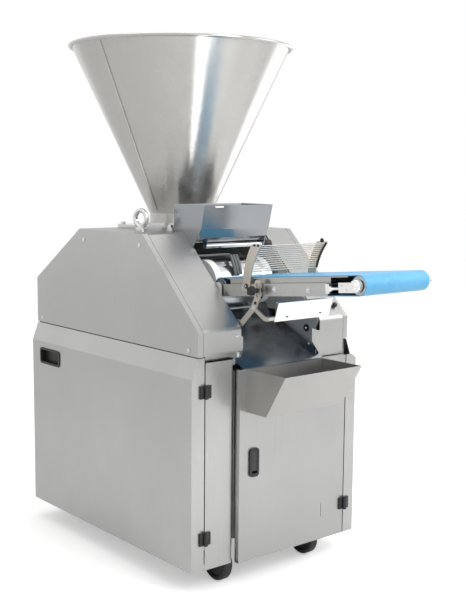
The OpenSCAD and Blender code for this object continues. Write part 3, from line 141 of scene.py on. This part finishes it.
def steel(name, color, rough, grain, fine=0.06, smudge=0.05, aniso=0.0, bump=0.05, metallic=1.0):
    """Brushed or satin metal: grain along one axis, slow tone changes and handling marks.

    With aniso the brushing runs round the vertical axis, and highlights stretch across it.
    """
    t = Tree(name)
    hair = t.noise(1.0, 3.0, GRAIN[grain])
    cloud = t.noise(2.3, 3.0)
    tone = t.mix(t.remap(hair, 0, 1), rgba(color, 1 - fine), rgba(color, 1 + fine))
    tone = t.mix(t.remap(cloud, 0, 1, 0.35, 0.65), tone, rgba(color, 1 - smudge))
    t.link(tone, "Base Color")
    wear = t.noise(9.0, 5.0, (1, 1, 1), 0.6)
    brushed = t.remap(hair, rough - 0.05, rough + 0.05)
    worn = t.remap(wear, -0.03, 0.05, 0.4, 0.7)
    t.link(math_node(t.tree, "ADD", brushed, worn), "Roughness")
    t.bsdf.inputs["Metallic"].default_value = metallic
    if aniso:
        t.bsdf.inputs["Anisotropic"].default_value = aniso
        tangent = t.tree.nodes.new("ShaderNodeTangent")
        tangent.direction_type = "RADIAL"
        tangent.axis = "Z"
        t.link(tangent.outputs["Tangent"], "Tangent")
        t.bsdf.inputs["Anisotropic Rotation"].default_value = 0.25
    t.bump(hair, bump, RELIEF)
    return t.mat


def plastic(name, color, rough, grain=1400.0, bump=0.12, fade=0.12, coat=0.0):
    """Moulded plastic or rubber: fine texture, slow fading and scuffs."""
    t = Tree(name)
    fine = t.noise(grain, 2.0)
    cloud = t.noise(14.0, 4.0)
    patches = t.remap(cloud, 0, 1, 0.35, 0.65)
    t.link(t.mix(patches, rgba(color, 1 - fade), rgba(color, 1 + fade)), "Base Color")
    t.link(t.remap(t.noise(45.0, 4.0), rough - 0.06, rough + 0.08), "Roughness")
    t.bsdf.inputs["Coat Weight"].default_value = coat
    t.bump(fine, bump, RELIEF)
    return t.mat


def paint(name, color, rough, orange=600.0):
    """Powder coat or enamel: orange peel, slow tone changes and worn spots."""
    t = Tree(name)
    cloud = t.noise(6.0, 5.0)
    t.link(t.mix(t.remap(cloud, 0, 1, 0.3, 0.7), rgba(color, 0.9), rgba(color, 1.1)), "Base Color")
    t.link(t.remap(t.noise(30.0, 4.0), rough - 0.05, rough + 0.08), "Roughness")
    t.bump(t.noise(orange, 2.0), 0.1, RELIEF)
    return t.mat


def belt_material(name):
    """Food belt: woven back pressed through a glossy light blue cover."""
    t = Tree(name)
    wave_x = t.add("ShaderNodeTexWave", Vector=t.coords, Scale=260.0, Distortion=0.3)
    wave_x.bands_direction = "X"
    weave = t.noise(700.0, 2.0)
    cloud = t.noise(5.0, 4.0)
    dusty = t.noise(24.0, 6.0, (1, 0.3, 1), 0.7)
    tone = t.mix(t.remap(cloud, 0, 1, 0.35, 0.65), (0.085, 0.37, 0.65, 1), (0.12, 0.43, 0.71, 1))
    tone = t.mix(t.remap(dusty, 0, 0.35, 0.55, 0.8), tone, (0.62, 0.76, 0.88, 1))
    t.link(tone, "Base Color")
    t.link(t.remap(dusty, 0.34, 0.55, 0.3, 0.8), "Roughness")
    t.bump(math_node(t.tree, "ADD", wave_x.outputs["Fac"], weave), 0.08, RELIEF)
    return t.mat


M = {
    "stainless": steel("stainless", (0.50, 0.50, 0.49), 0.34, "z"),
    "satin_stainless": steel("satin_stainless", (0.54, 0.54, 0.53), 0.30, "x"),
    "hopper_steel": steel(
        "hopper_steel", (0.53, 0.525, 0.505), 0.30, "none", aniso=0.85, fine=0.03, bump=0.02),
    # Top deck: a darker copy of the stainless, whose darker colour is painted shade on the deck
    "deck_painted_shade_steel": steel("deck_painted_shade_steel", (0.33, 0.33, 0.325), 0.38, "y"),
    # Flour box: a darker, bluish copy of the stainless, a painted reflection of the shaded blue belt on
    # the hood
    "hood_painted_reflection_steel": steel("hood_painted_reflection_steel", (0.33, 0.345, 0.36), 0.22, "x"),
    # Front door: a darker copy of the stainless, whose darker colour is painted shade on the door
    "door_painted_shade_steel": steel("door_painted_shade_steel", (0.455, 0.455, 0.45), 0.36, "z"),
    "trough_steel": steel("trough_steel", (0.47, 0.465, 0.45), 0.34, "x"),
    "base_plate_steel": steel("base_plate_steel", (0.62, 0.62, 0.61), 0.20, "x"),
    # Inner frame: a lighter, mostly non-metal copy of its steel, painted light on plates that stand in
    # the shade of the bay
    "inner_plate_painted_light": steel("inner_plate_painted_light", (0.60, 0.60, 0.59), 0.5, "y", metallic=0.3),
    "bright_block": steel("bright_block", (0.95, 0.95, 0.94), 0.30, "x", fine=0.02, smudge=0.03),
    "finger_paint": paint("finger_paint", (0.12, 0.125, 0.13), 0.5, 900.0),
    # The chute's darker, bluish steel is painted shade of the working bay's interior
    "dark_stainless": steel("dark_stainless", (0.36, 0.38, 0.40), 0.24, "y"),
    "warm_stainless": steel("warm_stainless", (0.60, 0.56, 0.50), 0.42, "none"),
    "polished_sheet": steel("polished_sheet", (0.93, 0.93, 0.92), 0.16, "x", fine=0.02),
    "chrome_steel": steel("chrome_steel", (0.74, 0.74, 0.74), 0.18, "x", fine=0.03),
    "machined_steel": steel("machined_steel", (0.42, 0.43, 0.44), 0.36, "y"),
    "cast_block": steel("cast_block", (0.34, 0.35, 0.36), 0.45, "none"),
    "roller_steel": steel("roller_steel", (0.50, 0.51, 0.52), 0.28, "x"),
    "frame_paint": paint("frame_paint", (0.20, 0.21, 0.23), 0.42),
    "tank_paint": paint("tank_paint", (0.05, 0.06, 0.08), 0.38),
    "control_paint": paint("control_paint", (0.30, 0.31, 0.33), 0.40),
    "caster_steel": paint("caster_steel", (0.018, 0.018, 0.02), 0.35),
    "black_plastic": plastic("black_plastic", (0.013, 0.013, 0.014), 0.42),
    "handle_metal": plastic("handle_metal", (0.03, 0.03, 0.033), 0.32),
    "black_wheel": plastic("black_wheel", (0.014, 0.014, 0.014), 0.55, 900.0, 0.2),
    "white_plastic": plastic("white_plastic", (0.93, 0.93, 0.92), 0.34, 900.0, 0.05, 0.03),
    "blue_belt": belt_material("blue_belt"),
    "green_plastic": plastic("green_plastic", (0.01, 0.24, 0.05), 0.3, 900.0, 0.03, 0.05, 0.4),
    "red_plastic": plastic("red_plastic", (0.58, 0.008, 0.006), 0.3, 900.0, 0.03, 0.05, 0.4),
}

slot_of = {row["node"]: row["material_slot"] for row in frame["record"]["subparts"]}
special = {
    "hopper": "hopper_steel", "hopper_base": "base_plate_steel", "top_deck": "deck_painted_shade_steel",
    "flour_box": "hood_painted_reflection_steel", "front_door": "door_painted_shade_steel", "trough": "trough_steel",
    "inner_frame": "inner_plate_painted_light", "conveyor_tensioners": "bright_block",
    "drum_scraper": "finger_paint",
}
for node, obj in NODES.items():
    finish = M[special.get(node, slot_of[node])]
    for i in range(max(1, len(obj.material_slots))):
        if len(obj.material_slots) <= i:
            obj.data.materials.append(finish)
        obj.material_slots[i].material = finish

# Rolled and rounded edges catch the light as on the real sheet metal
BEVEL = {
    "left_door": 0.8, "right_door": 0.8, "front_door": 0.8, "left_side_plate": 0.7,
    "right_side_plate": 0.7, "trough": 0.7, "top_deck": 0.6, "front_cheek_panels": 0.7,
    "lower_front_panels": 0.7, "hopper_base": 1.0, "flour_box": 0.5, "lower_guard_plate": 0.4,
    "conveyor_brackets": 0.5, "front_guard": 0.4, "conveyor_frame": 0.5,
    "conveyor_tensioners": 0.8, "control_box": 1.5, "hinge_leaves": 0.8,
    "left_door_fittings": 1.0, "right_door_fittings": 1.0, "front_door_fittings": 1.0,
    "front_handle": 1.2, "drum_end_discs": 1.5, "emergency_stop": 2.5, "start_button": 1.0,
    "stop_button": 1.0,
}


def soften(obj, mm, angle):
    """Round the edges that are sharper than an angle in degrees."""
    mod = obj.modifiers.new("edge", "BEVEL")
    mod.width = mm / 1000
    mod.segments = 2
    mod.limit_method = "ANGLE"
    mod.angle_limit = math.radians(angle)


for node, mm in BEVEL.items():
    soften(NODES[node], mm, 40)


# Small parts in mesh code, all places in mm from the front door's face and the floor
def turned(bm, profile, origin, axis, sides, spin=0.0):
    """A turned form about an axis: profile rows are (height along the axis, radius) in mm."""
    turn = Vector((0, 0, 1)).rotation_difference(Vector(axis).normalized())
    base = at(*origin)
    rings = []
    for height, radius in profile:
        if radius == 0:
            rings.append([bm.verts.new(base + turn @ Vector((0, 0, height / 1000)))])
            continue
        ring = []
        for i in range(sides):
            a = 2 * math.pi * i / sides + spin
            ring.append(bm.verts.new(base + turn @ Vector(
                (radius * math.cos(a) / 1000, radius * math.sin(a) / 1000, height / 1000))))
        rings.append(ring)
    for low, high in zip(rings, rings[1:]):
        for i in range(sides):
            j = (i + 1) % sides
            if len(low) == 1:
                bm.faces.new((low[0], high[i], high[j]))
            elif len(high) == 1:
                bm.faces.new((low[i], low[j], high[0]))
            else:
                bm.faces.new((low[i], low[j], high[j], high[i]))


def swept(bm, points, radius, sides):
    """A round bar along points in mm, with closed ends."""
    path = [at(*p) for p in points]
    rings = []
    for i, here in enumerate(path):
        ahead = path[min(i + 1, len(path) - 1)] - path[max(i - 1, 0)]
        turn = Vector((0, 0, 1)).rotation_difference(ahead.normalized())
        rings.append([bm.verts.new(here + turn @ Vector((
            radius * math.cos(2 * math.pi * k / sides) / 1000,
            radius * math.sin(2 * math.pi * k / sides) / 1000, 0))) for k in range(sides)])
    for low, high in zip(rings, rings[1:]):
        for k in range(sides):
            m = (k + 1) % sides
            bm.faces.new((low[k], low[m], high[m], high[k]))
    bm.faces.new(rings[0][::-1])
    bm.faces.new(rings[-1])


def slab(bm, outline, shift):
    """A flat outline in mm, thickened by a shift in mm."""
    near = [bm.verts.new(at(*p)) for p in outline]
    far = [bm.verts.new(at(*(a + b for a, b in zip(p, shift)))) for p in outline]
    bm.faces.new(near)
    bm.faces.new(far[::-1])
    for i in range(len(near)):
        j = (i + 1) % len(near)
        bm.faces.new((near[i], near[j], far[j], far[i]))


def hex_bolt(bm, origin, axis, across=10.0, head=6.0, washer=1.3):
    """Hexagon head with a chamfer and a washer under it."""
    flat = across / 2
    turned(bm, [(0, 0), (0, flat * 1.75), (washer, flat * 1.75), (washer, 0)], origin, axis, 28)
    corner = flat / math.cos(math.pi / 6)
    turned(bm, [(washer * 0.9, 0), (washer * 0.9, corner), (washer + head - 1, corner),
                (washer + head, corner * 0.86), (washer + head, 0)], origin, axis, 6, 0.3)


def socket_screw(bm, origin, axis, radius=6.0, head=3.4):
    """Button head with its hexagon socket."""
    turned(bm, [(0, 0), (0, radius), (head * 0.35, radius), (head * 0.8, radius * 0.78),
                (head, radius * 0.48), (head * 0.3, radius * 0.44), (head * 0.3, 0)], origin, axis, 24)


def piece(name, body, slot, build, look=None, edge=0.0):
    """A new piece built by build(bm), with its finish, riding on a body."""
    bm = bmesh.new()
    build(bm)
    bmesh.ops.recalc_face_normals(bm, faces=bm.faces)
    mesh = bpy.data.meshes.new(name)
    bm.to_mesh(mesh)
    bm.free()
    for face in mesh.polygons:
        face.use_smooth = True
    mesh.set_sharp_from_angle(angle=math.radians(35))
    mesh.materials.append(M[look or slot])
    obj = bpy.data.objects.new(name, mesh)
    bpy.context.scene.collection.objects.link(obj)
    if edge:
        soften(obj, edge, 30)
    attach(obj, body)


def each(make, places, *rest):
    """A build function that puts the same form at several places."""
    def build(bm):
        for place in places:
            make(bm, place, *rest)
    return build


LEFT, RIGHT, FRONT, TOP = (-1, 0, 0), (1, 0, 0), (0, -1, 0), (0, 0, 1)

# Conveyor: its tilt, rear axle, length between the axles, and outer faces of its plates, guard and blocks
TILT = math.radians(5.4)
REAR_AXLE_Y, REAR_AXLE_Z = 154, 984
BELT_SPAN = 632
CONVEYOR_X, GUARD_X, BLOCK_X, BRACKET_X = 143, 147, 152, 153
# Guard: its pivot and the centre of its arms
GUARD_PIVOT = (11.8, 999.5)
GUARD_CENTRE_Y, GUARD_CENTRE_Z = -206.2, 999.5


def on_belt(x, u, v):
    """A point in the conveyor's own axes: u along the belt from the rear axle, v square to it."""
    y = REAR_AXLE_Y - u * math.cos(TILT) + v * math.sin(TILT)
    z = REAR_AXLE_Z + u * math.sin(TILT) + v * math.cos(TILT)
    return (x, y, z)


# Bolts of the bed on both side plates, screws and pivot caps of the guard
BED_REAR, BED_FRONT, BED_MIDDLE = (31.5, 990.8), (-273, 1011.6), (-120, 1001)
piece("conveyor_bed_screws", "conveyor", "chrome_steel", each(
    hex_bolt, [(-CONVEYOR_X, *p) for p in (BED_REAR, BED_FRONT, BED_MIDDLE)], LEFT, 10.0, 5.0))
piece("conveyor_bed_screws_right", "conveyor", "chrome_steel", each(
    hex_bolt, [(CONVEYOR_X, *p) for p in (BED_REAR, BED_FRONT)], RIGHT, 10.0, 5.0))
piece("guard_screws", "guard", "black_plastic", each(
    socket_screw, [(-GUARD_X, -26, 1134), (-GUARD_X, -43.5, 1134)], LEFT, 4.6, 3.0))


def pivot_caps(bm):
    for x, way in ((-GUARD_X, LEFT), (GUARD_X, RIGHT)):
        socket_screw(bm, (x, *GUARD_PIVOT), way, 8.5, 4.0)


piece("guard_pivot_caps", "guard", "black_plastic", pivot_caps)


def guard_point(radius, degrees, x):
    """A point at a radius and angle about the centre of the guard's arms."""
    a = math.radians(degrees)
    return (x, GUARD_CENTRE_Y + radius * math.cos(a), GUARD_CENTRE_Z + radius * math.sin(a))


# Rubber edge and ring on the right arm of the guard
def guard_trim(bm):
    angles = [14 + 28 * i / 20 for i in range(21)]
    inner = [guard_point(197.2, a, 142.6) for a in angles]
    outer = [guard_point(203, a, 142.6) for a in reversed(angles)]
    slab(bm, inner + outer, (5.2, 0, 0))
    turned(bm, [(0, 0), (0, 8), (2.6, 8), (3.4, 6), (3.4, 0)], guard_point(219, 40, 143.3), LEFT, 28)


piece("guard_rubber_trim", "guard", "black_plastic", guard_trim, edge=0.6)

# Slotted bracket and tilt knob
piece("bracket_screw", "cabinet", "black_plastic", each(
    socket_screw, [(-BRACKET_X, -39.9, 949.9)], LEFT, 5.2, 3.2))
piece("bracket_joint_bolt", "cabinet", "chrome_steel", each(
    hex_bolt, [(-BRACKET_X, -31, 933)], LEFT, 9.0, 5.0))
piece("tilt_knob_cap", "tilt_knob", "black_plastic", lambda bm: turned(
    bm, [(0, 0), (0, 6.5), (1.2, 6.2), (2.0, 4.5), (2.2, 0)], (-185, -48, 991), LEFT, 24))


# Front axle: nuts and washers outside both bearing blocks
def axle_nuts(bm):
    near_end = on_belt(-BLOCK_X, BELT_SPAN, 0)
    turned(bm, [(0, 0), (0, 17), (2, 17.6), (3.4, 16), (3.4, 0)], near_end, LEFT, 40)
    hex_bolt(bm, on_belt(-155.2, BELT_SPAN, 0), LEFT, 19.0, 8.0, 1.6)
    hex_bolt(bm, on_belt(164, BELT_SPAN, 0), RIGHT, 21.0, 8.0, 2.0)
    far_end = on_belt(174, BELT_SPAN, 0)
    turned(bm, [(0, 0), (0, 13), (3, 14.5), (5, 12), (5, 0)], far_end, RIGHT, 32)


piece("front_axle_nuts", "conveyor", "chrome_steel", axle_nuts, "bright_block")
piece("conveyor_block_screws", "conveyor", "chrome_steel", each(
    socket_screw, [on_belt(-BLOCK_X, 598, -11), on_belt(-BLOCK_X, 578, 3)], LEFT, 4.2, 2.2))

# Bolts of the left cheek and the chute, cover disc of the drum's bearing, knob on the right slope
piece("left_cheek_bolt", "cabinet", "chrome_steel", each(
    hex_bolt, [(-174, 22, 839)], FRONT, 8.0, 4.0))
piece("chute_bolt", "cabinet", "chrome_steel", each(
    hex_bolt, [(186, 65, 771.7)], LEFT, 8.0, 4.0))


piece("drum_cover_disc", "cabinet", "black_plastic", lambda bm: turned(
    bm, [(0, 0), (0, 13), (3, 13), (4, 12), (4, 0)], (195, 84, 824), LEFT, 32))
piece("drum_cover_disc_bolt", "cabinet", "chrome_steel", each(
    hex_bolt, [(190.9, 84, 824)], LEFT, 7.0, 4.0, 1.0))
NOSE_Y, NOSE_Z = 22, 862
DECK_EDGE_Y, DECK_EDGE_Z = 329, 1158
SLOPE = (0, NOSE_Z - DECK_EDGE_Z, DECK_EDGE_Y - NOSE_Y)
KNOB_PROFILE = [(0, 0), (0, 5), (4, 5), (4.5, 9), (9, 9.6), (12, 8.2), (13, 5), (13, 0)]
piece("cheek_knob", "cabinet", "black_plastic", lambda bm: turned(
    bm, KNOB_PROFILE, (301.3, 57.1, 895.9), SLOPE, 32))
piece("lower_plate_screws", "cabinet", "black_plastic", each(
    socket_screw, [(-71.5, -104, 904.7), (75.8, -104, 906.5)], TOP, 4.4, 2.4))


# Flour box: folded lip on the cover's front edge, in a brighter finish than the cover, a painted
# highlight along that edge
def hood_lip(bm):
    slab(bm, [(-125, 213.2, 1252), (-125, 203, 1250.5), (-125, 201.5, 1246), (-125, 203.6, 1246.2),
              (-125, 204.8, 1248.6), (-125, 213.2, 1249.8)], (37, 0, 0))


piece("flour_box_lip", "cabinet", "stainless", hood_lip, "base_plate_steel", 0.5)


# Stop strip behind the front door's free edge, on the left sheet's return
def door_stop(bm):
    slab(bm, [(-183.3, 38, 155), (-183.3, 26, 155), (-160, 26, 155), (-160, 27.6, 155),
              (-181.6, 27.6, 155), (-181.6, 38, 155)], (0, 0, 567))


piece("door_stop_strip", "cabinet", "stainless", door_stop, edge=0.4)


# Latch clip on the left cheek, beside the opening
def latch_clip(bm):
    slab(bm, [(-178, 22.3, 766), (-168, 22.3, 766), (-168, 22.3, 784), (-178, 22.3, 784)], (0, -3.3, 0))
    turned(bm, [(0, 0), (0, 3.5), (3, 3.5), (3.6, 2.6), (3.6, 0)], (-173, 19, 775), FRONT, 20)


piece("latch_clip", "cabinet", "chrome_steel", latch_clip, edge=0.5)


# Hopper: its axis, the cone's radius at the spigot and below the rim, and the weld seam along it
HOPPER_Y = 565
SPIGOT_R, SPIGOT_Z = 115, 1215
CONE_TOP_R, CONE_TOP_Z = 399, 1811
SEAM_LOW, SEAM_HIGH, SEAM_STEPS = 1228, 1800, 24


def hopper_weld(bm):
    a = math.radians(-171)
    slant = (CONE_TOP_R - SPIGOT_R) / (CONE_TOP_Z - SPIGOT_Z)
    rows = []
    for i in range(SEAM_STEPS + 1):
        z = SEAM_LOW + (SEAM_HIGH - SEAM_LOW) * i / SEAM_STEPS
        radius = SPIGOT_R + (z - SPIGOT_Z) * slant + 1.2
        rows.append((radius * math.cos(a), HOPPER_Y + radius * math.sin(a), z))
    swept(bm, rows, 1.3, 8)


piece("hopper_weld_seam", "cabinet", "satin_stainless", hopper_weld, "hopper_steel")


# Stage, lamps and camera: brightness of the floor seen and mirrored, and of the reflector board mirrored
FLOOR_GLOW_SEEN = 0.42
FLOOR_GLOW_MIRRORED = 0.12
BOARD_GLOW_MIRRORED = 6.5


def stage_plane(name, outline, z, glow_mirrored):
    """A pale plane of the stage, with its own brightness in reflections."""
    mesh = bpy.data.meshes.new(name)
    mesh.from_pydata([(x, y, z) for x, y in outline], [], [tuple(range(len(outline)))])
    plane = bpy.data.objects.new(name, mesh)
    bpy.context.scene.collection.objects.link(plane)
    mat = bpy.data.materials.new(name)
    mat.use_nodes = True
    tree = mat.node_tree
    bsdf = tree.nodes["Principled BSDF"]
    bsdf.inputs["Base Color"].default_value = (0.90, 0.90, 0.90, 1)
    bsdf.inputs["Roughness"].default_value = 0.7
    bsdf.inputs["Specular IOR Level"].default_value = 0.1
    bsdf.inputs["Emission Color"].default_value = (1, 1, 1, 1)
    path = tree.nodes.new("ShaderNodeLightPath")
    seen = math_node(tree, "MULTIPLY", path.outputs["Is Camera Ray"], FLOOR_GLOW_SEEN)
    mirrored = math_node(tree, "MULTIPLY", path.outputs["Is Glossy Ray"], glow_mirrored)
    tree.links.new(math_node(tree, "ADD", seen, mirrored), bsdf.inputs["Emission Strength"])
    mesh.materials.append(mat)


# The board lies on the floor, where the hopper mirrors it as a bright streak
stage_plane("floor", [(-12, -12), (12, -12), (12, 12), (-12, 12)], 0, FLOOR_GLOW_MIRRORED)
stage_plane("reflector", [(-0.80, -1.98), (-0.05, -2.14), (0.14, -1.80), (0.06, -1.05), (-0.33, -1.02)],
            0.0006, BOARD_GLOW_MIRRORED)

# The world lights softly; seen directly, mirrored or through glass it is a white studio
world = bpy.data.worlds.new("studio")
bpy.context.scene.world = world
world.use_nodes = True
nt = world.node_tree
nt.nodes.clear()
out = nt.nodes.new("ShaderNodeOutputWorld")
ray = nt.nodes.new("ShaderNodeLightPath")
direct = math_node(nt, "MAXIMUM", ray.outputs["Is Camera Ray"], ray.outputs["Is Glossy Ray"])
direct = math_node(nt, "MAXIMUM", direct, ray.outputs["Is Transmission Ray"])
lit = nt.nodes.new("ShaderNodeBackground")
lit.inputs["Color"].default_value = (1.0, 0.995, 0.985, 1)
lit.inputs["Strength"].default_value = 0.62
white = nt.nodes.new("ShaderNodeBackground")
white.inputs["Color"].default_value = (1, 1, 1, 1)
white.inputs["Strength"].default_value = 1.0
mix = nt.nodes.new("ShaderNodeMixShader")
nt.links.new(direct, mix.inputs[0])
nt.links.new(lit.outputs[0], mix.inputs[1])
nt.links.new(white.outputs[0], mix.inputs[2])
nt.links.new(mix.outputs[0], out.inputs[0])


def area(name, loc, target, size, power):
    """A soft rectangular lamp that shines at a point."""
    data = bpy.data.lights.new(name, "AREA")
    data.shape = "RECTANGLE"
    data.size, data.size_y = size
    data.energy = power
    obj = bpy.data.objects.new(name, data)
    obj.location = loc
    obj.rotation_mode = "QUATERNION"
    obj.rotation_quaternion = (Vector(target) - Vector(loc)).to_track_quat("-Z", "Y")
    bpy.context.scene.collection.objects.link(obj)


area("front", (0.7, -3.7, 3.2), (0, 0, 0.8), (1.6, 2.2), 70)
area("right_front", (3.2, -1.9, 2.6), (0, 0, 0.9), (2.4, 2.4), 32)
area("top", (-0.4, 0.6, 4.8), (0, 0.2, 1.0), (3.0, 3.0), 40)
area("right_strip", (3.4, 0.7, 1.0), (0, 0.2, 1.3), (1.7, 2.2), 22)
area("floor_front", (0.2, -1.5, 2.9), (0.2, -1.5, 0), (0.5, 0.9), 10)

# Camera as fitted to the photograph: focal length in its pixels, place in mm and turn in degrees
FOCAL_PIXELS, PHOTO_HEIGHT, SENSOR = 1020.17, 611, 36.0
CAMERA_PLACE = (-2274.63, -2488.37, 1358.1)
YAW, PITCH, ROLL = -39.652, 7.330, 0.492

cam_data = bpy.data.cameras.new("camera")
cam = bpy.data.objects.new("camera", cam_data)
bpy.context.scene.collection.objects.link(cam)
bpy.context.scene.camera = cam
cam_data.sensor_width = SENSOR
cam_data.lens = FOCAL_PIXELS / PHOTO_HEIGHT * SENSOR
yaw, pitch, roll = math.radians(YAW), math.radians(PITCH), math.radians(ROLL)
fwd = Vector((-math.sin(yaw) * math.cos(pitch), math.cos(yaw) * math.cos(pitch), -math.sin(pitch)))
side = Vector((math.cos(yaw), math.sin(yaw), 0))
up = side.cross(fwd)
right = side * math.cos(roll) + up * math.sin(roll)
top = up * math.cos(roll) - side * math.sin(roll)
turn = Matrix((right, top, -fwd)).transposed()
cam.rotation_mode = "QUATERNION"
cam.rotation_quaternion = turn.to_quaternion()
cam.location = at(*CAMERA_PLACE)
cam_data.clip_end = 60

bpy.context.scene.view_settings.view_transform = "Standard"
